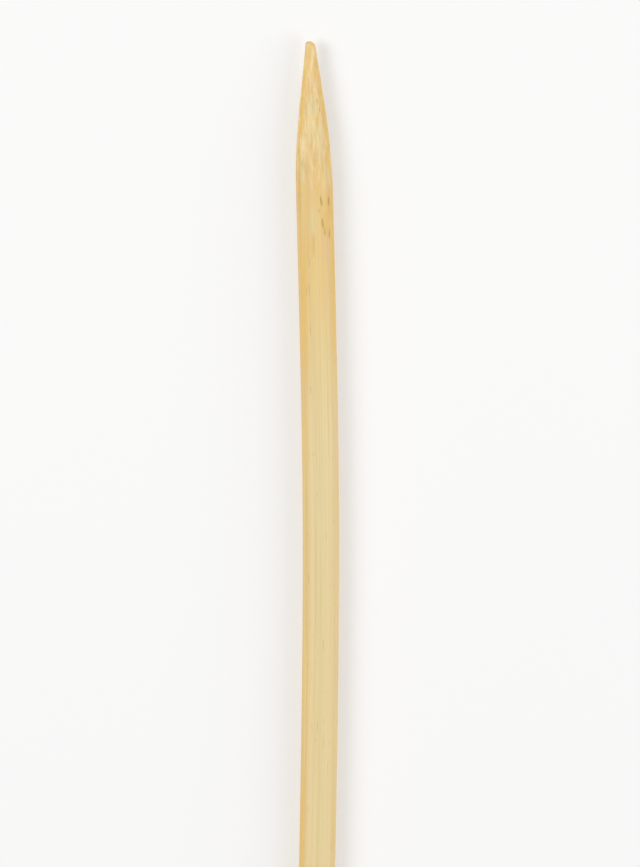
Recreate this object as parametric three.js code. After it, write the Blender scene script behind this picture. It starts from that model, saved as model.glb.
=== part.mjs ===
// A bamboo skewer: one round stick, milled from split bamboo, with one end sharpened to a
// blunt point and the other sawn off square.
//
// Millimetres, +Z up. The skewer lies on Z = 0 along X, with its point towards +X. Bamboo is
// never quite straight: the whole stick bows a little, and it bends a little more behind the
// point. Both curves lie level, so the stick rests on its two ends and its bowed side.
import * as THREE from 'three';

// Shank
const LENGTH = 304.8; // from the butt to the tip
const DIAMETER = 4;
const FLATTENING = 0.06; // how much less the section measures from top to bottom than across

// Point
const POINT_LENGTH = 13.4; // from the tip to where the cone's line meets the shank's
const TIP_DIAMETER = 1.05; // of the blunt end that the sharpening leaves
const SHOULDER_RADIUS = 85; // of the long arc that eases the shank into the cone
const TIP_EDGE = 0.1; // bevel around the blunt end

// Butt
const BUTT_EDGE = 0.2; // bevel around the sawn end

// Centre line, seen from above
const BOW = 1; // how far the middle lies beside a line through both ends
const BEND_ANGLE = 2; // degrees that the stick turns at the bend behind the point
const BEND_FROM_TIP = 60;
const BEND_REACH = 18; // how far the bend is spread to either side

// Facets
const SIDES = 40;
const RING_SPACING = 6;
const SHOULDER_STEPS = 5;

const BAMBOO_COLOUR = 0xe0ca98;

/** Points on a straight stretch of the profile, from start to end, both included. */
function straight(start, end, steps) {
  const points = [];
  for (let i = 0; i <= steps; i++) {
    points.push(new THREE.Vector2().lerpVectors(start, end, i / steps));
  }
  return points;
}

/** Points on an arc of the profile, from one angle to another, both included. */
function arc(centre, radius, startAngle, endAngle, steps) {
  const points = [];
  for (let i = 0; i <= steps; i++) {
    const angle = THREE.MathUtils.lerp(startAngle, endAngle, i / steps);
    points.push(new THREE.Vector2(radius * Math.cos(angle), radius * Math.sin(angle)).add(centre));
  }
  return points;
}

/** Half of the stick's outline: x is the distance from its axis, y the distance from the butt. */
function profile() {
  const radius = DIAMETER / 2;
  const tipRadius = TIP_DIAMETER / 2;
  const coneEnd = LENGTH - TIP_EDGE;
  const coneStart = LENGTH - POINT_LENGTH;
  const coneAngle = Math.atan2(radius - tipRadius, coneEnd - coneStart);

  const shoulderStart = coneStart - SHOULDER_RADIUS * Math.tan(coneAngle / 2);
  const shoulderCentre = new THREE.Vector2(radius - SHOULDER_RADIUS, shoulderStart);
  const shoulder = arc(shoulderCentre, SHOULDER_RADIUS, 0, coneAngle, SHOULDER_STEPS);

  const shankStart = new THREE.Vector2(radius, BUTT_EDGE);
  const shankSteps = Math.ceil((shoulderStart - BUTT_EDGE) / RING_SPACING);
  const shank = straight(shankStart, shoulder[0], shankSteps);

  const tip = new THREE.Vector2(tipRadius, coneEnd);
  const shoulderEnd = shoulder[SHOULDER_STEPS];
  const coneSteps = Math.ceil((tip.y - shoulderEnd.y) / RING_SPACING);
  const cone = straight(shoulderEnd, tip, coneSteps);

  return [
    new THREE.Vector2(0, 0),
    new THREE.Vector2(radius - BUTT_EDGE, 0),
    ...shank,
    ...shoulder.slice(1),
    ...cone.slice(1),
    new THREE.Vector2(tipRadius - TIP_EDGE, LENGTH),
    new THREE.Vector2(0, LENGTH),
  ];
}

/** How far the centre line lies to the side of a straight line through both ends. */
function sideways(fromTip) {
  const share = fromTip / LENGTH;
  const bow = 4 * BOW * share * (1 - share);
  const bendCurve = (distance) => Math.hypot(distance - BEND_FROM_TIP, BEND_REACH);
  const chord = THREE.MathUtils.lerp(bendCurve(0), bendCurve(LENGTH), share);
  const bend = (THREE.MathUtils.degToRad(BEND_ANGLE) / 2) * (chord - bendCurve(fromTip));
  return bow + bend;
}

/** The stick's solid, lying along X on Z = 0 and centred on the origin in X and Y. */
function skewerGeometry() {
  const geometry = new THREE.LatheGeometry(profile(), SIDES);
  geometry.rotateZ(-Math.PI / 2);
  geometry.scale(1, 1, (DIAMETER - FLATTENING) / DIAMETER);

  const position = geometry.attributes.position;
  for (let i = 0; i < position.count; i++) {
    position.setY(i, position.getY(i) - sideways(LENGTH - position.getX(i)));
  }

  geometry.computeBoundingBox();
  const { min, max } = geometry.boundingBox;
  geometry.translate(-(min.x + max.x) / 2, -(min.y + max.y) / 2, -min.z);
  geometry.computeVertexNormals();
  return geometry;
}

const bamboo = new THREE.MeshStandardMaterial({
  color: BAMBOO_COLOUR,
  roughness: 0.6,
  metalness: 0,
});

const skewer = new THREE.Mesh(skewerGeometry(), bamboo);
skewer.name = 'skewer';

const bambooSkewer = new THREE.Group();
bambooSkewer.name = 'bamboo_skewer';
bambooSkewer.add(skewer);

export default bambooSkewer;
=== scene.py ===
"""A bamboo skewer, lying on a plain white table and seen from above its point.

The skewer is one stick. Its fine mesh follows the solid's own rings, and adds the section's
unevenness, the fibres, the torn grain behind the point and the cut ends. Sizes here are in
millimetres unless a comment says otherwise, and the mesh is made in metres.
"""

from __future__ import annotations

import logging
import math
from collections.abc import Mapping
from dataclasses import dataclass, field
from enum import Enum

import bpy
import numpy as np
from mathutils import Matrix, Vector


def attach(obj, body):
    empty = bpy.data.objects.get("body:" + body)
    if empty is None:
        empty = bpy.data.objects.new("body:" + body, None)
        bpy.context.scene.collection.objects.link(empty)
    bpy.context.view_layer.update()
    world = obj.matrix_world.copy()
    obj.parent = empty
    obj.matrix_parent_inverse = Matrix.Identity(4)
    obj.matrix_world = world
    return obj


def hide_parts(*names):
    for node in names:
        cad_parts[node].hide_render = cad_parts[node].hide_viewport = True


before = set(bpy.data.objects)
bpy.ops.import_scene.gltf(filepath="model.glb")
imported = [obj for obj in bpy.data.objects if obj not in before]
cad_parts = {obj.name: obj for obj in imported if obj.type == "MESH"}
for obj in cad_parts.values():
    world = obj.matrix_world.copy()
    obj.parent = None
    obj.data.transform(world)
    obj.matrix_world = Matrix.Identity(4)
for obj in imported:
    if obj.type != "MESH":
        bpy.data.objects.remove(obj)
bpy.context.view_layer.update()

MM = 0.001  # metres
IMAGE_HEIGHT = 867  # pixels

Colour = tuple[float, float, float, float]

log = logging.getLogger("skewer")


def srgb(red: int, green: int, blue: int) -> Colour:
    """Turns a colour as a screen shows it into the linear one that a shader takes.

    Args:
        red: Its red, from 0 to 255.
        green: Its green, from 0 to 255.
        blue: Its blue, from 0 to 255.

    Returns:
        The linear colour, with an alpha of 1.
    """
    shares = np.array([red, green, blue]) / 255
    linear = np.where(shares <= 0.04045, shares / 12.92, ((shares + 0.055) / 1.055) ** 2.4)
    return (*(float(share) for share in linear), 1.0)


def smooth_step(values: np.ndarray, low: float, high: float) -> np.ndarray:
    """Rises smoothly from 0 to 1 as the values go from low to high, or falls if high is less."""
    share = np.clip((values - low) / (high - low), 0, 1)
    return share * share * (3 - 2 * share)


def add_object(name: str, data: bpy.types.ID) -> bpy.types.Object:
    """Puts a new object in the scene.

    Args:
        name: The object's name.
        data: The mesh, lamp or camera that it holds.

    Returns:
        The object.
    """
    made = bpy.data.objects.new(name, data)
    bpy.context.scene.collection.objects.link(made)
    return made


class Value:
    """A number that varies over a surface. Python's operators on it add Math nodes."""

    def __init__(self, graph: Graph, socket: bpy.types.NodeSocket) -> None:
        """Wraps the output socket that gives the number, and keeps the graph that it is in."""
        self.graph = graph
        self.socket = socket

    def math(self, operation: str, *terms: Value | float) -> Value:
        """Adds one Math node with these inputs, in order, and gives its result."""
        node = self.graph.node("ShaderNodeMath", {"operation": operation}, dict(enumerate(terms)))
        return Value(self.graph, node.outputs[0])

    def __add__(self, other: Value | float) -> Value:
        """Gives self + other."""
        return self.math("ADD", self, other)

    def __radd__(self, other: float) -> Value:
        """Gives other + self."""
        return self.math("ADD", other, self)

    def __sub__(self, other: Value | float) -> Value:
        """Gives self - other."""
        return self.math("SUBTRACT", self, other)

    def __rsub__(self, other: float) -> Value:
        """Gives other - self."""
        return self.math("SUBTRACT", other, self)

    def __mul__(self, other: Value | float) -> Value:
        """Gives self * other."""
        return self.math("MULTIPLY", self, other)

    def __rmul__(self, other: float) -> Value:
        """Gives other * self."""
        return self.math("MULTIPLY", other, self)

    def rise(self, low: float, high: float) -> Value:
        """Eases from 0 to 1 as this value goes from low to high.

        Args:
            low: Where the result is 0.
            high: Where the result is 1.

        Returns:
            The eased share.
        """
        limits = {"Value": self, "From Min": low, "From Max": high}
        node = self.graph.node("ShaderNodeMapRange", {"interpolation_type": "SMOOTHSTEP"}, limits)
        return Value(self.graph, node.outputs["Result"])


@dataclass(frozen=True)
class Pitch:
    """How far apart a noise's features are along and across the grain, and how fine it gets."""

    along: float
    across: float
    shift: float  # which stretch of the noise is used
    layers: float = 1.0  # of finer features


@dataclass(frozen=True)
class Veil:
    """How a tint comes in where a noise is high."""

    low: float  # where it starts to show
    high: float  # where it shows fully
    most: float  # how strongly it shows there

    def share(self, noise: Value) -> Value:
        """Gives how strongly the tint shows, from 0 to its most."""
        return self.most * noise.rise(self.low, self.high)


class Graph:
    """A shader's node tree, with one method for any node and short ones for the common kinds."""

    def __init__(self, owner: bpy.types.Material | bpy.types.World) -> None:
        """Empties the tree of the material or surround that the nodes are for.

        Args:
            owner: The material or the surround.
        """
        owner.use_nodes = True
        self.tree = owner.node_tree
        self.tree.nodes.clear()

    def node(
        self,
        kind: str,
        settings: Mapping[str, object] | None = None,
        inputs: Mapping[str | int, object] | None = None,
    ) -> bpy.types.Node:
        """Adds a node.

        Args:
            kind: The node's type.
            settings: Its properties, which are set first.
            inputs: A value, or a Value or socket to link, for each named or numbered input.

        Returns:
            The new node.
        """
        made = self.tree.nodes.new(kind)
        for name, setting in (settings or {}).items():
            setattr(made, name, setting)
        for key, given in (inputs or {}).items():
            source = given.socket if isinstance(given, Value) else given
            if isinstance(source, bpy.types.NodeSocket):
                self.tree.links.new(source, made.inputs[key])
            else:
                made.inputs[key].default_value = source
        return made

    def mix(self, share: Value, first: object, second: object) -> bpy.types.NodeSocket:
        """Blends two colours or colour sockets. The share is how much of the second one shows."""
        node = self.node("ShaderNodeMix", {"data_type": "RGBA"}, {0: share, 6: first, 7: second})
        return node.outputs[2]

    def attribute(self, name: str) -> Value:
        """Reads a number that the mesh holds at each vertex."""
        return Value(self, self.node("ShaderNodeAttribute", {"attribute_name": name}).outputs["Fac"])

    def noise(self, place: bpy.types.NodeSocket, pitch: Pitch) -> Value:
        """Adds noise that is drawn out along the grain.

        Args:
            place: Where a point lies, in millimetres along and across the grain.
            pitch: How far apart the noise's features are.

        Returns:
            The noise, from 0 to 1 and mostly near a half.
        """
        scaled = self.node(
            "ShaderNodeVectorMath",
            {"operation": "MULTIPLY_ADD"},
            {0: place, 1: (1 / pitch.along, 1 / pitch.across, 1 / pitch.across), 2: (pitch.shift,) * 3},
        )
        inputs = {"Vector": scaled.outputs[0], "Scale": 1.0, "Detail": pitch.layers}
        return Value(self, self.node("ShaderNodeTexNoise", {}, inputs).outputs["Fac"])


@dataclass(frozen=True)
class Surface:
    """The stick's surface before its relief: arrays with a row of vertices for each ring."""

    from_tip: np.ndarray  # along the stick
    angle: np.ndarray  # radians around it, from +Y over the top to -Y
    share: np.ndarray  # of the stick's radius: 1 on its side and less on an end face
    radius: np.ndarray  # the stick's own there
    y: np.ndarray  # from the stick's middle
    z: np.ndarray

    @property
    def on_end(self) -> np.ndarray:
        """Says which vertices lie on an end face."""
        return self.share < 1

    def aside(self, line: float) -> np.ndarray:
        """Measures how far round each vertex lies from the line along the stick at this many degrees."""
        turn = (self.angle - math.radians(line) + math.pi) % (2 * math.pi) - math.pi
        return turn * self.radius


class Tone(Enum):
    """What a lengthwise streak on the stick looks like. Most are the bamboo's own tints; some warm and
    pale ones carry painted light.
    """

    WARM = "warm"
    BLUSH = "blush"
    GREEN = "green"
    PALE = "pale"
    BROWN = "brown"


@dataclass(frozen=True)
class Streak:
    """One lengthwise streak on the stick's surface. Angles go from +Y over the top to -Y."""

    tone: Tone
    angle: float  # degrees
    width: float
    from_tip: float  # where it starts
    length: float
    strength: float = 1.0
    depth: float = 0.0  # how far its middle is sunk into the surface

    EASED_END = 0.3  # the share of its length over which each end fades out

    def share(self, surface: Surface) -> np.ndarray:
        """Says how strongly the streak shows at each vertex.

        Args:
            surface: The stick's surface.

        Returns:
            A share from 0 to 1 for each vertex.
        """
        aside = surface.aside(self.angle) / (self.width / 2)
        along = (surface.from_tip - self.from_tip) / self.length
        ends = smooth_step(along, 0, self.EASED_END) * smooth_step(along, 1, 1 - self.EASED_END)
        return self.strength * ends * np.exp(-(aside**2))


@dataclass(frozen=True)
class StreakField:
    """Streaks of one tone, spread at random over the whole stick."""

    tone: Tone
    count: int
    widths: tuple[float, float]
    lengths: tuple[float, float]
    strengths: tuple[float, float]
    depth: float = 0.0

    def streaks(self, stick_length: float, rng: np.random.Generator) -> list[Streak]:
        """Draws the streaks.

        Args:
            stick_length: How long the stick is.
            rng: The source of random numbers.

        Returns:
            The streaks, some of which run past the stick's ends.
        """
        drawn = []
        for _ in range(self.count):
            length = rng.uniform(*self.lengths)
            start = rng.uniform(-length / 2, stick_length - length / 2)
            angle = rng.uniform(0, 360)
            width = rng.uniform(*self.widths)
            strength = rng.uniform(*self.strengths)
            drawn.append(Streak(self.tone, angle, width, start, length, strength, self.depth))
        return drawn


@dataclass(frozen=True)
class Pit:
    """A spot where the mill tore the grain out."""

    angle: float  # degrees, as a streak's
    from_tip: float  # its middle
    width: float
    length: float
    depth: float
    lean: float = 0.0  # how far it strays round the stick for each millimetre along

    RIM = 1.1  # where its side begins, as a share of its half width or half length
    FLOOR = 0.55  # where its side ends

    def share(self, surface: Surface) -> np.ndarray:
        """Says how deep each vertex lies in the pit.

        Args:
            surface: The stick's surface.

        Returns:
            A share from 0, outside, to 1, at the pit's floor.
        """
        behind = surface.from_tip - self.from_tip
        aside = (surface.aside(self.angle) - self.lean * behind) / (self.width / 2)
        return smooth_step(np.hypot(aside, behind / (self.length / 2)), self.RIM, self.FLOOR)


@dataclass(frozen=True)
class TornZone:
    """Small pits, spread at random around the part of the stick where the sharpening begins."""

    count: int = 26
    angles: tuple[float, float] = (160.0, 395.0)
    reach: tuple[float, float] = (9.0, 27.0)  # from the tip
    thickest: float = 20.0  # from the tip, where most of them lie
    widths: tuple[float, float] = (0.1, 0.22)
    lengths: tuple[float, float] = (0.6, 1.9)
    depths: tuple[float, float] = (0.02, 0.055)
    usual_lean: float = 0.06  # to either side

    def pits(self, rng: np.random.Generator) -> list[Pit]:
        """Draws the pits.

        Args:
            rng: The source of random numbers.

        Returns:
            The pits.
        """
        drawn = []
        for _ in range(self.count):
            angle = rng.uniform(*self.angles)
            from_tip = rng.triangular(self.reach[0], self.thickest, self.reach[1])
            width = rng.uniform(*self.widths)
            length = rng.uniform(*self.lengths)
            depth = rng.uniform(*self.depths)
            lean = rng.normal(0, self.usual_lean)
            drawn.append(Pit(angle, from_tip, width, length, depth, lean))
        return drawn


@dataclass(frozen=True)
class Flake:
    """A splinter that the sharpening lifted. Its free end is towards the tip."""

    angle: float  # degrees, as a streak's
    from_tip: float  # its free end
    width: float
    length: float
    lift: float

    SLOPE = 0.7  # its sides slope down from this share of its half width
    BROW = 0.1  # it has its full lift up to this share of its length

    def share(self, surface: Surface) -> np.ndarray:
        """Says how far each vertex is lifted.

        Args:
            surface: The stick's surface.

        Returns:
            A share from 0, on the plain surface, to 1, at the free end.
        """
        aside = np.abs(surface.aside(self.angle)) / (self.width / 2)
        along = (surface.from_tip - self.from_tip) / self.length
        return smooth_step(aside, 1, self.SLOPE) * smooth_step(along, 1, self.BROW) * (along > 0)


@dataclass(frozen=True)
class BundleField:
    """The bamboo's fibre bundles: round in the section, and running nearly along the stick."""

    spacing: float = 0.56
    scatter: float = 0.16  # how far a bundle lies from its place in an even pattern
    radius: float = 0.17
    sizes: tuple[float, float] = (0.75, 1.2)  # the smallest and the largest, as shares of radius
    edge: tuple[float, float] = (1.15, 0.55)  # where one begins and is full, as shares of its radius
    crowding: float = 0.42  # how much closer they stand on the culm's outer side
    least_closeness: float = 0.3  # so that none gets too small
    outer_side: float = 290.0  # degrees, the angle of that side
    darkening: tuple[float, float] = (-0.8, 0.6)  # where they are palest and darkest, as shares of reach
    inner_darkness: float = 0.3  # how dark the bundles on the inner side are, beside those on the outer
    pale_bias: float = 1.5  # above 1, pale bundles are commoner than dark ones
    wander: tuple[float, float] = (0.42, 0.3)  # how far the grain strays in Y and Z
    wander_length: tuple[float, float] = (96.0, 125.0)  # per radian
    wander_start: tuple[float, float] = (0.7, 2.1)  # radians, at the tip

    def places(self, reach: float, rng: np.random.Generator) -> tuple[np.ndarray, np.ndarray, np.ndarray]:
        """Sets out the bundles over the section.

        Args:
            reach: How far from the axis bundles are needed.
            rng: The source of random numbers.

        Returns:
            Each bundle's place in Y and Z, its radius, and how dark it is from 0 to 1.
        """
        row_pitch = self.spacing * math.sqrt(3) / 2
        count = math.ceil(reach / row_pitch) + 1
        found = []
        for row in range(-count, count + 1):
            for column in range(-count, count + 1):
                across = (column + 0.5 * (row % 2)) * self.spacing
                found.append((across, row * row_pitch))
        even = np.array(found) + rng.uniform(-self.scatter, self.scatter, (len(found), 2))
        outward = even[:, 1] + self.crowding * (reach**2 - even[:, 1] ** 2) / (2 * reach)
        closeness = 1 - self.crowding * even[:, 1] / reach
        turn = math.radians(self.outer_side - 90)
        y = even[:, 0] * math.cos(turn) - outward * math.sin(turn)
        z = even[:, 0] * math.sin(turn) + outward * math.cos(turn)
        radii = self.radius * np.sqrt(closeness.clip(self.least_closeness))
        radii = radii * rng.uniform(*self.sizes, len(found))
        palest, darkest = self.darkening
        outwardness = smooth_step(even[:, 1], palest * reach, darkest * reach)
        most = self.inner_darkness + (1 - self.inner_darkness) * outwardness
        darkness = most * rng.uniform(0, 1, len(found)) ** self.pale_bias
        return np.column_stack([y, z]), radii, darkness

    def around(self, surface: Surface, rng: np.random.Generator) -> tuple[np.ndarray, np.ndarray]:
        """Finds the bundle that each vertex lies in, or the nearest one.

        Args:
            surface: The stick's surface.
            rng: The source of random numbers.

        Returns:
            How far into its bundle each vertex is, and how dark that bundle is, from 0 to 1.
        """
        reach = float(np.hypot(surface.y, surface.z).max() + np.hypot(*self.wander))
        places, radii, darkness = self.places(reach, rng)
        strays = []
        for far, length, start in zip(self.wander, self.wander_length, self.wander_start):
            strays.append(far * np.sin(surface.from_tip / length + start))
        among_y = surface.y + strays[0]
        among_z = surface.z + strays[1]
        inside = np.empty_like(among_y)
        dark = np.empty_like(among_y)
        for row, (ring_y, ring_z) in enumerate(zip(among_y, among_z)):
            apart = np.hypot(ring_y[:, None] - places[:, 0], ring_z[:, None] - places[:, 1]) / radii
            nearest = apart.argmin(axis=1)
            inside[row] = apart[np.arange(len(nearest)), nearest]
            dark[row] = darkness[nearest]
        return smooth_step(inside, *self.edge), dark


@dataclass(frozen=True)
class StickForm:
    """The solid's rings: where each lies along X, its middle, and its half width and height."""

    x: np.ndarray
    middle: np.ndarray
    half: np.ndarray

    RING_GAP = 0.05  # rings of the solid lie further apart than this
    EASE = 0.8  # over this length corners between rings are smoothed
    EASE_SAMPLES = 9
    EASE_TAIL = 1.2  # times that length, where the smoothing's weights would reach 0
    KEPT_END = 2.0  # from this far off the smoothing dies away towards an end

    @classmethod
    def of_node(cls, node: bpy.types.Object) -> StickForm:
        """Reads the rings of a solid that was turned about a line along X.

        Args:
            node: The solid's object.

        Returns:
            Its rings, from the lowest X to the highest.
        """
        places = np.array([vertex.co for vertex in node.data.vertices]) / MM
        places = places[np.argsort(places[:, 0])]
        starts = np.flatnonzero(np.diff(places[:, 0]) > cls.RING_GAP) + 1
        rings = np.split(places, starts)
        low = np.array([ring.min(axis=0) for ring in rings])
        high = np.array([ring.max(axis=0) for ring in rings])
        return cls(low[:, 0], ((low + high) / 2)[:, 1:], ((high - low) / 2)[:, 1:])

    @property
    def length(self) -> float:
        """The stick's length."""
        return float(self.x[-1] - self.x[0])

    def at(self, x: np.ndarray) -> tuple[np.ndarray, np.ndarray]:
        """Gives the section's middle and half size at any place along the stick.

        Args:
            x: Places along X.

        Returns:
            The middle in Y and Z and the half width and height, a row for each place.
        """
        offsets = np.linspace(-self.EASE, self.EASE, self.EASE_SAMPLES)
        weights = 1 - (offsets / (self.EASE * self.EASE_TAIL)) ** 2
        weights /= weights.sum()
        from_end = np.minimum(x - self.x[0], self.x[-1] - x)
        reach = smooth_step(from_end, 0, self.KEPT_END)
        spread = x[:, None] + offsets[None, :] * reach[:, None]
        columns = []
        for values in (*self.middle.T, *self.half.T):
            columns.append(np.interp(spread, self.x, values) @ weights)
        return np.column_stack(columns[:2]), np.column_stack(columns[2:])


@dataclass(frozen=True)
class FlatLayout:
    """The surface laid out flat in a square of side 1: its side as strips, and its ends as discs."""

    name: str = "OFBake"
    strips: int = 5
    strip_height: float = 0.9
    margin: float = 0.006
    disc_radius: float = 0.034
    butt_disc: float = 0.08  # how far from the left a disc's middle lies
    tip_disc: float = 0.24

    def on_disc(self, middle: float, shares: np.ndarray, turn: np.ndarray) -> np.ndarray:
        """Gives where points of an end face lie on its disc.

        Args:
            middle: How far from the left the disc's middle lies.
            shares: The points' distances from the end's middle, as shares of its radius.
            turn: Their angles around it, in radians.

        Returns:
            Their places, from the left and from the bottom.
        """
        radius = self.disc_radius * shares
        height = 1 - self.disc_radius - self.margin
        return np.stack([middle + radius * np.cos(turn), height + radius * np.sin(turn)], axis=-1)

    def lay_out(
        self, mesh: bpy.types.Mesh, from_butt: np.ndarray, shares: np.ndarray, sides: int, longest: float
    ) -> None:
        """Gives the mesh its flat layout.

        Args:
            mesh: The mesh: its rings' faces in order, then the butt's fan and the tip's.
            from_butt: Each ring's distance from the butt.
            shares: Each ring's share of the stick's radius.
            sides: How many vertices a ring has.
            longest: The longest face's length.
        """
        length = from_butt[-1]
        strip_width = (1 - self.margin) / self.strips - self.margin
        ring = np.arange(len(from_butt) - 1)[:, None, None]
        side = np.arange(sides)[:, None]
        corner_ring = ring + np.array([0, 0, 1, 1])
        corner_side = side + np.array([0, 1, 1, 0])

        strip = np.minimum((from_butt[ring] * self.strips / length).astype(int), self.strips - 1)
        along = (from_butt[corner_ring] - strip * length / self.strips) / (length / self.strips + longest)
        across = self.margin + strip * (strip_width + self.margin) + corner_side / sides * strip_width
        up = np.broadcast_to(self.margin + along * self.strip_height, across.shape)
        flat = np.stack([across, up], axis=-1)

        turn = corner_side / sides * 2 * math.pi
        side_rings = np.flatnonzero(shares >= 1)
        ends = ((self.butt_disc, ring < side_rings[0]), (self.tip_disc, ring >= side_rings[-1]))
        for middle, faces in ends:
            flat = np.where(faces[..., None], self.on_disc(middle, shares[corner_ring], turn), flat)

        fan_turn = (side + np.array([0, 1, 0])) / sides * 2 * math.pi
        butt_fan = self.on_disc(self.butt_disc, shares[0] * np.array([0, 1, 1]), fan_turn)
        tip_fan = self.on_disc(self.tip_disc, shares[-1] * np.array([1, 1, 0]), fan_turn)
        places = [sheet.reshape(-1, 2) for sheet in (flat, butt_fan, tip_fan)]
        layer = mesh.uv_layers.new(name=self.name)
        layer.uv.foreach_set("vector", np.concatenate(places).astype(np.float32).ravel())


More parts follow.
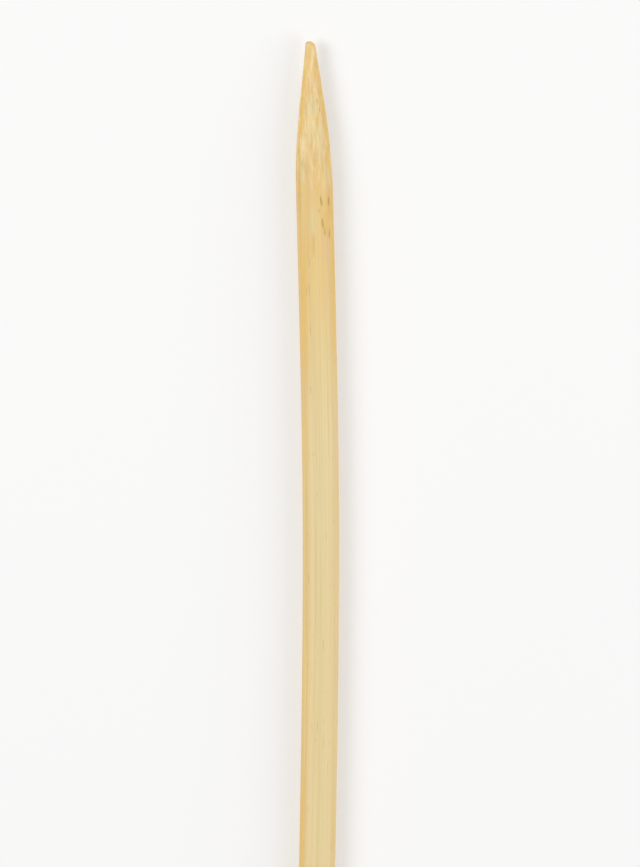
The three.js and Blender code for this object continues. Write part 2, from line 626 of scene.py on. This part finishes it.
@dataclass
class Stick:
    """The skewer itself: one closed mesh that stands for the solid."""

    name: str = "bamboo_stick"
    node: str = "skewer"
    body: str = "root"
    slot: str = "bamboo"
    seed: int = 12

    # Mesh
    sides: int = 192
    shank_step: float = 1.0
    shoulder_step: float = 0.5
    point_step: float = 0.2
    shoulder_from_tip: float = 32.0
    point_from_tip: float = 20.0
    edge_rows: tuple[float, ...] = (0.0, 0.04, 0.08, 0.12, 0.16, 0.2, 0.28, 0.4, 0.6)
    butt_rings: int = 20
    tip_rings: int = 8
    layout: FlatLayout = field(default_factory=FlatLayout)

    # Unevenness of the milled section: how often it goes round, how deep, and how it turns
    lobes: tuple[tuple[int, float, float, float], ...] = (
        (2, 0.003, 0.4, 0.011),
        (3, 0.004, 2.0, -0.017),
        (5, 0.0025, 1.1, 0.023),
        (8, 0.0015, 3.0, -0.031),
    )

    # Relief of the fibres, and how strongly they are tinted
    bundles: BundleField = field(default_factory=BundleField)
    soft_sink: float = 0.012  # how far the soft tissue lies below the bundles on the shank
    cut_sink: float = 0.02  # and on the cut point
    vessel_edge: tuple[float, float] = (0.86, 1.0)  # how far into a bundle its vessels lie
    vessel_darkness: tuple[float, float] = (0.3, 0.6)  # how dark a bundle with open vessels is
    vessel_depth: float = 0.015
    vessel_wear: float = 0.5  # the share of that depth that the cut takes away
    least_tint: float = 0.3  # how strongly the palest bundle is tinted, beside the darkest
    least_sawn_tint: float = 0.55  # and on the sawn end

    # The cut point, which the sharpening leaves with faint flats
    cut_reach: tuple[float, float] = (14.0, 18.0)  # from the tip, where the cut surface fades out
    flats: int = 11
    flat_depth: float = 0.012
    flat_twist: float = 0.05  # radians for each millimetre along

    # Ends
    tip_slope: float = 0.2  # the blunt end is cut at a slant, longer on +Y
    tip_slope_reach: float = 0.7
    tip_bevel: float = 0.1  # the solid's, around the blunt end's flat
    tip_grain: float = 0.5  # how deep the fibres' relief is on the blunt end, as a share of the side's
    saw_pitch: float = 0.26
    saw_depth: float = 0.016
    saw_angle: float = 24.0  # degrees
    saw_waver: float = 0.9  # radians by which the saw marks stray from an even pitch
    saw_waver_pace: float = 5.0  # radians for each millimetre across them

    # What the surface shows on and behind the point, as seen from above. Some warm and pale streaks carry
    # painted light, as said where they stand.
    marks: tuple[Streak, ...] = (
        # Warm edge tint, partly painted: these two streaks lie along the visible edges of the point;
        # their warm tint is partly the bamboo's own and partly painted warm light bounced onto the sides.
        Streak(Tone.WARM, 32, 0.9, -1, 20, 1.0),
        Streak(Tone.WARM, 149, 0.8, -2, 21, 0.85),
        Streak(Tone.WARM, 100, 1.9, -2.5, 7.5, 0.6),
        Streak(Tone.PALE, 92, 0.9, -1.8, 6.0, 0.15),
        Streak(Tone.BLUSH, 95, 0.7, 3.2, 3.2, 0.9),
        Streak(Tone.GREEN, 90, 1.1, 5.6, 3.0, 1.0),
        Streak(Tone.PALE, 72, 0.22, 6.5, 3.4, 0.8),
        Streak(Tone.GREEN, 125, 0.5, 8.4, 5.0, 0.8),
        Streak(Tone.GREEN, 98, 0.7, 8.2, 3.8, 0.8),
        Streak(Tone.WARM, 102, 1.1, 10.8, 4.2, 0.35),
        Streak(Tone.BROWN, 106, 1.0, 10.9, 4.2, 0.12),
        Streak(Tone.PALE, 110, 0.5, 11.0, 3.6, 0.7),
        # Partly painted highlight: this pale patch over the splinter at 53 degrees is partly the lifted
        # fibre's paler colour and partly a painted highlight where the splinter catches the light.
        Streak(Tone.PALE, 52, 0.56, 10.2, 3.8, 1.0),
        Streak(Tone.BROWN, 92, 0.2, 11.6, 4.6, 0.22, 0.012),
        Streak(Tone.BROWN, 117, 0.2, 12.0, 3.2, 0.2, 0.012),
        Streak(Tone.GREEN, 50, 0.7, 13.2, 3.6, 0.9),
        # Warm edge tint on the left side, partly painted bounce light, as above.
        Streak(Tone.WARM, 35, 0.7, 12.2, 10.0, 1.0),
        Streak(Tone.BROWN, 35, 0.5, 12.6, 9.0, 0.2),
        Streak(Tone.WARM, 134, 0.9, 15.5, 9.5, 0.85),
        Streak(Tone.BROWN, 143, 0.4, 16.2, 4.8, 0.14),
        Streak(Tone.BLUSH, 140, 0.6, 15, 3.2, 0.8),
        Streak(Tone.GREEN, 84, 0.9, 18.5, 4.5, 0.7),
        Streak(Tone.BROWN, 84, 0.24, 21.6, 3.8, 0.24, 0.012),
        Streak(Tone.BLUSH, 122, 0.8, 21.5, 5.4, 0.9),
        Streak(Tone.WARM, 48, 0.9, 20, 25, 0.9),
        # Warm edge tint on the left side, partly painted bounce light, as above.
        Streak(Tone.WARM, 30, 0.4, 42, 60, 0.6),
        Streak(Tone.GREEN, 96, 3.0, 20, 110, 0.9),
        Streak(Tone.BLUSH, 62, 0.7, 46, 60, 0.45),
        Streak(Tone.PALE, 127, 0.16, 43, 8, 0.7),
        # Painted light: these two pale streaks lighten the upper sides of the shank, where less lamp
        # light falls, so that they look as bright as its top.
        Streak(Tone.PALE, 124, 1.3, 20, 110, 0.5),
        Streak(Tone.PALE, 62, 1.1, 22, 108, 0.5),
        # Warm edge tints, partly painted: these three run along the visible edges behind the point and
        # stand partly for warm light bounced onto the sides.
        Streak(Tone.WARM, 33, 1.2, 10, 190, 1.0),
        Streak(Tone.WARM, 152, 1.1, 10, 34, 0.85),
        Streak(Tone.WARM, 34, 0.9, 13, 34, 0.9),
    )
    pits: tuple[Pit, ...] = (
        Pit(119, 6.6, 0.12, 0.9, 0.03),
        Pit(128, 7.6, 0.1, 0.7, 0.02),
        Pit(112, 18.3, 0.22, 1.5, 0.05, 0.14),
        Pit(105, 19.4, 0.18, 0.5, 0.035),
        Pit(141, 18.6, 0.26, 1.3, 0.045, 0.05),
        Pit(115, 21.0, 0.3, 1.2, 0.045, 0.1),
        Pit(122, 22.1, 0.36, 1.3, 0.03, 0.06),
        Pit(140, 22.6, 0.24, 1.3, 0.03, 0.04),
        Pit(32, 18.0, 0.14, 0.6, 0.04),
        Pit(33, 19.8, 0.12, 0.5, 0.03),
        Pit(32, 20.9, 0.14, 0.6, 0.035),
    )
    torn_zone: TornZone = field(default_factory=TornZone)
    flakes: tuple[Flake, ...] = (
        Flake(53, 12.0, 0.34, 1.7, 0.045),
        Flake(286, 16.5, 0.26, 2.4, 0.04),
    )
    fields: tuple[StreakField, ...] = (
        StreakField(Tone.WARM, 26, (0.4, 1.2), (35, 130), (0.2, 0.7)),
        StreakField(Tone.BLUSH, 26, (0.3, 1.0), (20, 90), (0.2, 0.6)),
        StreakField(Tone.GREEN, 20, (0.4, 1.3), (20, 80), (0.2, 0.7)),
        StreakField(Tone.PALE, 60, (0.1, 0.36), (12, 70), (0.25, 0.7)),
        StreakField(Tone.BROWN, 130, (0.05, 0.11), (3, 22), (0.06, 0.3), 0.01),
    )

    def rows(self, length: float) -> tuple[np.ndarray, np.ndarray]:
        """Sets out the mesh's rings, from the middle of the butt to the middle of the tip.

        Args:
            length: The stick's length.

        Returns:
            Each ring's distance from the butt, and its share of the stick's radius there.
        """
        butt_edge = np.array(self.edge_rows)
        tip_edge = length - butt_edge[::-1]
        shoulder_start = length - self.shoulder_from_tip
        shank = np.arange(butt_edge[-1] + self.shank_step, shoulder_start, self.shank_step)
        point_start = length - self.point_from_tip
        shoulder = np.arange(shank[-1] + self.shoulder_step, point_start, self.shoulder_step)
        point_end = tip_edge[0] - self.point_step / 2
        point = np.arange(shoulder[-1] + self.point_step, point_end, self.point_step)
        side = np.concatenate([butt_edge, shank, shoulder, point, tip_edge])
        butt_shares = np.arange(1, self.butt_rings) / self.butt_rings
        tip_shares = np.arange(self.tip_rings - 1, 0, -1) / self.tip_rings
        from_butt = np.concatenate([np.zeros(len(butt_shares)), side, np.full(len(tip_shares), length)])
        shares = np.concatenate([butt_shares, np.ones(len(side)), tip_shares])
        return from_butt, shares

    def surface(self, from_tip: np.ndarray, shares: np.ndarray, half: np.ndarray) -> Surface:
        """Lays out the milled surface, before the fibres and the marks.

        Args:
            from_tip: Each ring's distance from the tip.
            shares: Each ring's share of the stick's radius.
            half: The section's half width and height at each ring.

        Returns:
            The surface, around a straight axis.
        """
        around = np.arange(self.sides) * 2 * math.pi / self.sides
        angle = np.broadcast_to(around, (len(from_tip), self.sides))
        along = np.broadcast_to(from_tip[:, None], angle.shape)
        share = np.broadcast_to(shares[:, None], angle.shape)
        radius = half.mean(axis=1)[:, None] * np.ones_like(angle)
        uneven = np.ones_like(angle)
        for count, depth, phase, turn in self.lobes:
            uneven -= depth * (1 - np.cos(count * angle + phase + turn * along))
        y = half[:, :1] * share * uneven * np.cos(angle)
        z = half[:, 1:] * share * uneven * np.sin(angle)
        return Surface(along, angle, share, radius, y, z)

    def marked(
        self, surface: Surface, length: float, rng: np.random.Generator
    ) -> tuple[dict[str, np.ndarray], np.ndarray]:
        """Spreads the streaks and the pits over the surface.

        Args:
            surface: The stick's surface.
            length: Its length.
            rng: The source of random numbers.

        Returns:
            How strongly each tone and the torn grain show, by name, and how far the marks are sunk.
        """
        streaks = list(self.marks)
        for streak_field in self.fields:
            streaks.extend(streak_field.streaks(length, rng))
        measures = {tone.value: np.zeros_like(surface.y) for tone in Tone}
        sunk = np.zeros_like(surface.y)
        for streak in streaks:
            found = streak.share(surface) * surface.share
            shown = measures[streak.tone.value]
            np.maximum(shown, found, out=shown)
            np.maximum(sunk, found * streak.depth, out=sunk)
        torn = np.zeros_like(surface.y)
        for pit in (*self.pits, *self.torn_zone.pits(rng)):
            found = pit.share(surface)
            np.maximum(torn, found, out=torn)
            np.maximum(sunk, found * pit.depth, out=sunk)
        measures["torn"] = torn
        return measures, sunk

    def side_relief(self, surface: Surface, sunk: np.ndarray, cone: np.ndarray) -> np.ndarray:
        """Works out how far the side lies inside the milled surface.

        Args:
            surface: The stick's surface.
            sunk: How far the fibres and the marks sink each vertex.
            cone: How fully each vertex lies on the sharpened point.

        Returns:
            The distance towards the axis, which is 0 on the end faces.
        """
        flat_turn = np.abs(np.sin(self.flats / 2 * surface.angle + self.flat_twist * surface.from_tip))
        inward = sunk + self.flat_depth * cone * (1 - flat_turn)
        for flake in self.flakes:
            inward = inward - flake.lift * flake.share(surface)
        return np.where(surface.on_end, 0, inward)

    def end_relief(
        self, x: np.ndarray, surface: Surface, sunk: np.ndarray, form: StickForm
    ) -> np.ndarray:
        """Works out the slanted tip and the marks on the two end faces.

        Args:
            x: Each vertex's place along the stick.
            surface: The stick's surface.
            sunk: How far the fibres and the marks sink each vertex.
            form: The solid's rings.

        Returns:
            How far each vertex moves along X.
        """
        near_tip = smooth_step(form.x[-1] - x, self.tip_slope_reach, 0)
        tip_half = form.half[-1, 0]
        slant = self.tip_slope * (surface.y - tip_half - self.tip_bevel) * near_tip
        saw = math.radians(self.saw_angle)
        across = surface.y * math.cos(saw) + surface.z * math.sin(saw)
        waver = self.saw_waver * np.sin(across * self.saw_waver_pace)
        saw_line = np.sin(2 * math.pi * across / self.saw_pitch + waver)
        butt_relief = sunk - self.soft_sink + self.saw_depth * saw_line
        tip_relief = self.tip_grain * (self.soft_sink - sunk)
        return slant + np.where(surface.on_end, np.where(x < 0, butt_relief, tip_relief), 0)

    def build(self) -> bpy.types.Object:
        """Makes the stick's mesh and the numbers that its finish reads.

        Returns:
            The new object, in place of the solid.
        """
        rng = np.random.default_rng(self.seed)
        form = StickForm.of_node(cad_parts[self.node])
        from_butt, shares = self.rows(form.length)
        x_rows = form.x[0] + from_butt
        middle, half = form.at(x_rows)
        surface = self.surface(form.length - from_butt, shares, half)

        bundle, dark = self.bundles.around(surface, rng)
        measures, sunk = self.marked(surface, form.length, rng)
        vessel = smooth_step(bundle, *self.vessel_edge) * smooth_step(dark, *self.vessel_darkness)
        cone = smooth_step(surface.from_tip, self.cut_reach[1], self.cut_reach[0])
        cut = np.maximum(cone, surface.on_end)
        sink = self.soft_sink + (self.cut_sink - self.soft_sink) * cut
        vessel_sink = self.vessel_depth * vessel * (1 - self.vessel_wear * cut)
        sunk = sunk + sink * (1 - bundle) + vessel_sink

        inward = self.side_relief(surface, sunk, cone)
        x = np.broadcast_to(x_rows[:, None], sunk.shape)
        x = x + self.end_relief(x, surface, sunk, form)
        y = middle[:, :1] + (surface.y - inward * np.cos(surface.angle))
        z = middle[:, 1:] + (surface.z - inward * np.sin(surface.angle))

        tint = self.least_tint + (1 - self.least_tint) * dark
        sawn_tint = self.least_sawn_tint + (1 - self.least_sawn_tint) * dark
        sawn = np.where(surface.on_end & (x < 0), bundle, 0) * sawn_tint
        measures.update(bundle=bundle * tint, vessel=vessel, cut=cut, sawn=sawn)
        grain = np.stack([surface.from_tip, surface.y, surface.z], axis=-1)

        mesh = self.ring_mesh(np.stack([x, y, z], axis=-1), grain, measures)
        self.layout.lay_out(mesh, from_butt, shares, self.sides, self.shank_step)
        mesh.materials.append(BambooFinish().material())
        stick = add_object(self.name, mesh)
        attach(stick, self.body)
        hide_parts(self.node)
        return stick

    def ring_mesh(
        self, points: np.ndarray, grain: np.ndarray, measures: Mapping[str, np.ndarray]
    ) -> bpy.types.Mesh:
        """Joins the rings into one closed mesh.

        Args:
            points: The vertices, by ring and side, in millimetres.
            grain: Each vertex's place in the straight stick.
            measures: The numbers that the finish reads, by name.

        Returns:
            The mesh, which closes at a vertex in the middle of each end face.
        """
        rings, sides = points.shape[:2]
        last = rings * sides
        ends = [points[0].mean(axis=0), points[-1].mean(axis=0)]
        corners = np.concatenate([points.reshape(-1, 3), ends]) * MM

        here = np.arange(sides)
        after = (here + 1) % sides
        first = (np.arange(rings - 1) * sides)[:, None]
        second = first + sides
        quads = np.stack([first + here, first + after, second + after, second + here], axis=-1)
        butt_fan = np.stack([np.full(sides, last), after, here], axis=-1)
        tip_ring = (rings - 1) * sides
        tip_fan = np.stack([tip_ring + here, tip_ring + after, np.full(sides, last + 1)], axis=-1)
        faces = [*quads.reshape(-1, 4).tolist(), *butt_fan.tolist(), *tip_fan.tolist()]

        mesh = bpy.data.meshes.new(self.name)
        mesh.from_pydata(corners.tolist(), [], faces)
        mesh.validate()
        mesh.shade_smooth()
        for name, values in measures.items():
            flat = np.concatenate([values.ravel(), [values[0].mean(), values[-1].mean()]])
            numbers = mesh.attributes.new(name, "FLOAT", "POINT")
            numbers.data.foreach_set("value", flat.astype(np.float32))
        grain_ends = [grain[0].mean(axis=0), grain[-1].mean(axis=0)]
        places = np.concatenate([grain.reshape(-1, 3), grain_ends]).astype(np.float32)
        mesh.attributes.new("grain", "FLOAT_VECTOR", "POINT").data.foreach_set("vector", places.ravel())
        return mesh


@dataclass(frozen=True)
class BambooFinish:
    """Bare milled bamboo: pale straw, with fibre bundles, fine threads and soft lengthwise tints, some of
    them painted light.
    """

    straw: Colour = srgb(234, 211, 160)
    fibre: Colour = srgb(214, 178, 114)
    # Also the colour of the painted warm bounce light along the stick's edges.
    warm: Colour = srgb(237, 195, 106)
    blush: Colour = srgb(234, 199, 151)
    green: Colour = srgb(227, 212, 162)
    # Also the colour of the painted lighter sides and of a painted highlight.
    pale: Colour = srgb(245, 224, 177)
    brown: Colour = srgb(162, 114, 60)
    fresh: Colour = srgb(238, 210, 150)  # the cut surface

    # Noises
    fibre_pitch: Pitch = Pitch(40, 0.17, 3.1, 2)
    thread_pitch: Pitch = Pitch(9, 0.07, 7.7, 2)
    drift_pitch: Pitch = Pitch(60, 1.3, 1.9)
    cloud_pitch: Pitch = Pitch(12, 2.2, 5.3)
    fleck_pitch: Pitch = Pitch(2.2, 0.33, 6.1)
    dash_pitch: Pitch = Pitch(2.6, 0.1, 9.4)
    grinding_pitch: Pitch = Pitch(0.16, 2.4, 4.2)

    # How the tints come in with them
    warm_drift: Veil = Veil(0.42, 0.7, 0.5)
    blush_cloud: Veil = Veil(0.45, 0.75, 0.6)
    fibre_lines: Veil = Veil(0.5, 0.68, 0.2)
    thread_lines: Veil = Veil(0.5, 0.7, 0.2)
    pale_flecks: Veil = Veil(0.54, 0.7, 0.5)
    dark_flecks: Veil = Veil(0.54, 0.7, 0.45)
    brown_dashes: Veil = Veil(0.7, 0.78, 0.4)
    torn_fibres: Veil = Veil(0.35, 0.65, 0.42)

    # How strongly the mesh's own measures show where they are full
    fresh_share: float = 0.4
    tint_share: float = 0.9
    bundle_share: float = 0.42
    pale_share: float = 0.85
    vessel_share: float = 0.25
    brown_share: float = 0.8
    torn_share: float = 0.231
    sawn_share: float = 0.5

    # Sheen and fine relief
    shank_roughness: float = 0.6
    cut_roughness: float = 0.15  # how much rougher the cut point and ends are
    torn_roughness: float = 0.2  # how much rougher the torn grain is
    thread_roughness: float = 0.12  # how much rougher the threads are than the bundles
    refraction: float = 1.45
    gloss: float = 0.17  # a third as strong a reflection as a smooth plastic's
    bump_height: float = 0.03
    fibre_bump: float = 0.6  # the fibres' share of that height
    thread_bump: float = 0.4
    grinding_bump: float = 0.2

    def colour(
        self, graph: Graph, place: bpy.types.NodeSocket, fibres: Value, threads: Value
    ) -> bpy.types.NodeSocket:
        """Lays the tints over each other, from the broadest to the finest.

        Args:
            graph: The material's graph.
            place: Where a point lies in the straight stick.
            fibres: The long fibres' noise.
            threads: The fine threads' noise.

        Returns:
            The colour's socket.
        """
        cut = graph.attribute("cut")
        flecks = graph.noise(place, self.fleck_pitch)
        drift = self.warm_drift.share(graph.noise(place, self.drift_pitch))
        cloud = self.blush_cloud.share(graph.noise(place, self.cloud_pitch))
        dashes = self.brown_dashes.share(graph.noise(place, self.dash_pitch))
        torn = graph.attribute("torn") * (self.torn_share + self.torn_fibres.share(fibres))
        layers = (
            (drift, self.warm),
            (cloud, self.blush),
            (self.fresh_share * cut, self.fresh),
            # The warm measure holds partly painted bounce light along the edges, besides the bamboo's
            # warm streaks.
            (self.tint_share * graph.attribute(Tone.WARM.value), self.warm),
            (self.tint_share * graph.attribute(Tone.BLUSH.value), self.blush),
            (self.tint_share * graph.attribute(Tone.GREEN.value), self.green),
            (self.bundle_share * graph.attribute("bundle"), self.fibre),
            (self.fibre_lines.share(fibres), self.fibre),
            (self.thread_lines.share(threads), self.fibre),
            (cut * self.pale_flecks.share(flecks), self.pale),
            (cut * self.dark_flecks.share(1 - flecks), self.fibre),
            # The pale measure holds painted lighter sides and a partly painted highlight, besides the
            # bamboo's pale streaks.
            (self.pale_share * graph.attribute(Tone.PALE.value), self.pale),
            (dashes, self.brown),
            (self.vessel_share * graph.attribute("vessel"), self.brown),
            (self.brown_share * graph.attribute(Tone.BROWN.value), self.brown),
            (torn, self.brown),
            (self.sawn_share * graph.attribute("sawn"), self.brown),
        )
        colour = self.straw
        for share, tint in layers:
            colour = graph.mix(share, colour, tint)
        return colour

    def material(self) -> bpy.types.Material:
        """Makes the material.

        Returns:
            A material that reads the stick's grain and measures.
        """
        material = bpy.data.materials.new("milled_bamboo")
        graph = Graph(material)
        place = graph.node("ShaderNodeAttribute", {"attribute_name": "grain"}).outputs["Vector"]
        fibres = graph.noise(place, self.fibre_pitch)
        threads = graph.noise(place, self.thread_pitch)
        grinding = graph.noise(place, self.grinding_pitch)
        cut = graph.attribute("cut")

        roughness = self.shank_roughness + self.cut_roughness * cut
        roughness = roughness + self.torn_roughness * graph.attribute("torn")
        roughness = roughness + self.thread_roughness * (threads - graph.attribute("bundle"))
        height = self.fibre_bump * fibres + self.thread_bump * threads
        height = height + self.grinding_bump * cut * grinding
        relief = {"Height": height, "Distance": self.bump_height * MM, "Strength": 1.0}
        bump = graph.node("ShaderNodeBump", {}, relief)
        shader = graph.node(
            "ShaderNodeBsdfPrincipled",
            {},
            {
                "Base Color": self.colour(graph, place, fibres, threads),
                "Roughness": roughness,
                "Normal": bump.outputs[0],
                "IOR": self.refraction,
                "Specular IOR Level": self.gloss,
            },
        )
        graph.node("ShaderNodeOutputMaterial", {}, {"Surface": shader.outputs[0]})
        return material


@dataclass(frozen=True)
class Lamp:
    """A soft square lamp that shines at the aim point. Its place and size are in metres."""

    name: str
    place: tuple[float, float, float]
    size: float
    level: float  # the light it gives a white surface that faces it, where 1 shows as white

    def build(self, aim: Vector) -> None:
        """Puts the lamp in the scene.

        Args:
            aim: The point that it shines at.
        """
        towards = aim - Vector(self.place)
        data = bpy.data.lights.new(self.name, "AREA")
        data.shape = "SQUARE"
        data.size = self.size
        data.energy = self.level * math.pi**2 * towards.length_squared
        lamp = add_object(self.name, data)
        lamp.location = self.place
        lamp.rotation_euler = towards.to_track_quat("-Z", "Y").to_euler()


@dataclass(frozen=True)
class Studio:
    """A white table that runs out into a white surround, and soft lamps. Sizes are in metres."""

    table_radius: float = 6.0
    table_sides: int = 96
    fade: tuple[float, float] = (0.2, 0.5)  # from here to there the table turns plain white
    table_colour: Colour = (0.93, 0.93, 0.925, 1.0)
    lift: float = 0.35  # how much plain white is mixed into what the camera sees of the table's middle
    surround_light: float = 0.46
    white: Colour = (1.0, 1.0, 1.0, 1.0)
    lamps: tuple[Lamp, ...] = (
        Lamp("key_lamp", (0.7, 0.75, 1.05), 0.7, 0.49),
        Lamp("fill_lamp", (0.3, -1.1, 0.8), 1.2, 0.42),
    )

    def build(self, aim: Vector) -> None:
        """Makes the table, the surround and the lamps.

        Args:
            aim: The point that the lamps shine at.
        """
        rim = []
        for side in range(self.table_sides):
            turn = 2 * math.pi * side / self.table_sides
            rim.append((self.table_radius * math.cos(turn), self.table_radius * math.sin(turn), 0))
        mesh = bpy.data.meshes.new("table")
        mesh.from_pydata(rim, [], [tuple(range(self.table_sides))])
        mesh.materials.append(self.table_material())
        table = add_object("table", mesh)
        self.light_surround()
        for lamp in self.lamps:
            lamp.build(aim)

    def seen_plainly(self, graph: Graph) -> Value:
        """Says whether a ray comes from the camera, straight or by way of gloss or glass.

        Args:
            graph: The graph of the table's material or of the surround.

        Returns:
            1 for such a ray, and 0 for one that only carries light.
        """
        path = graph.node("ShaderNodeLightPath").outputs
        seen = Value(graph, path["Is Camera Ray"]) + Value(graph, path["Is Glossy Ray"])
        seen = seen + Value(graph, path["Is Transmission Ray"])
        return seen.math("MINIMUM", seen, 1.0)

    def table_material(self) -> bpy.types.Material:
        """Makes the table's matt white, which fades to plain white away from the middle.

        Returns:
            The material.
        """
        material = bpy.data.materials.new("white_table")
        graph = Graph(material)
        place = graph.node("ShaderNodeNewGeometry").outputs["Position"]
        apart = graph.node("ShaderNodeVectorMath", {"operation": "LENGTH"}, {0: place}).outputs["Value"]
        plainness = self.lift + (1 - self.lift) * Value(graph, apart).rise(*self.fade)
        share = plainness * self.seen_plainly(graph)
        matt = graph.node("ShaderNodeBsdfDiffuse", {}, {"Color": self.table_colour})
        plain = graph.node("ShaderNodeEmission", {}, {"Color": self.white, "Strength": 1.0})
        shaders = {0: share, 1: matt.outputs[0], 2: plain.outputs[0]}
        mixed = graph.node("ShaderNodeMixShader", {}, shaders)
        graph.node("ShaderNodeOutputMaterial", {}, {"Surface": mixed.outputs[0]})
        return material

    def light_surround(self) -> None:
        """Lights the scene evenly from all round, and shows the surround as plain white."""
        world = bpy.data.worlds.new("white_surround")
        graph = Graph(world)
        strength = self.surround_light + (1 - self.surround_light) * self.seen_plainly(graph)
        light = graph.node("ShaderNodeBackground", {}, {"Color": self.white, "Strength": strength})
        graph.node("ShaderNodeOutputWorld", {}, {"Surface": light.outputs[0]})
        bpy.context.scene.world = world


@dataclass(frozen=True)
class LongCamera:
    """A camera far off, which looks at the point end at an angle to the stick."""

    angle_to_stick: float = 60.0  # degrees between the line of sight and the stick
    lean: float = 1.0  # degrees that the stick leans in the picture
    distance: float = 1.7  # metres
    far_limit: float = 100.0  # metres
    pixels_per_mm: float = 9.3  # across the line of sight
    tip_below_top: float = 48.0  # pixels from the top of the picture to the tip
    sensor: float = 36.0

    def aim(self, form: StickForm) -> Vector:
        """Finds the point of the stick's axis that the picture is centred on.

        Args:
            form: The solid's rings.

        Returns:
            That point, in metres.
        """
        shown = (IMAGE_HEIGHT / 2 - self.tip_below_top) / self.pixels_per_mm
        x = form.x[-1] - shown / math.sin(math.radians(self.angle_to_stick))
        middle, _ = form.at(np.array([x]))
        return Vector((x, *middle[0])) * MM

    def build(self, form: StickForm) -> Vector:
        """Puts the camera in the scene.

        Args:
            form: The solid's rings.

        Returns:
            The point that it looks at, in metres.
        """
        aim = self.aim(form)
        angle = math.radians(self.angle_to_stick)
        sight = Vector((-math.cos(angle), 0, -math.sin(angle)))
        upright = Vector((math.sin(angle), 0, -math.cos(angle)))
        up = Matrix.Rotation(math.radians(-self.lean), 3, sight) @ upright
        right = sight.cross(up)
        turned = Matrix((right, up, -sight)).transposed().to_4x4()
        data = bpy.data.cameras.new("camera")
        data.sensor_width = self.sensor
        data.lens = self.pixels_per_mm / MM * self.distance * self.sensor / IMAGE_HEIGHT
        data.clip_end = self.far_limit
        camera = add_object("camera", data)
        camera.matrix_world = Matrix.Translation(aim - sight * self.distance) @ turned
        bpy.context.scene.camera = camera
        return aim


def main() -> None:
    """Builds the stick, the camera, and the studio around them."""
    logging.basicConfig(level=logging.INFO)
    bpy.context.scene.view_settings.view_transform = "Standard"
    stick = Stick()
    built = stick.build()
    log.info("%s: %d faces", built.name, len(built.data.polygons))
    aim = LongCamera().build(StickForm.of_node(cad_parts[stick.node]))
    log.info("camera aims at %s", tuple(round(part, 4) for part in aim))
    Studio().build(aim)


if __name__ == "__main__":
    main()
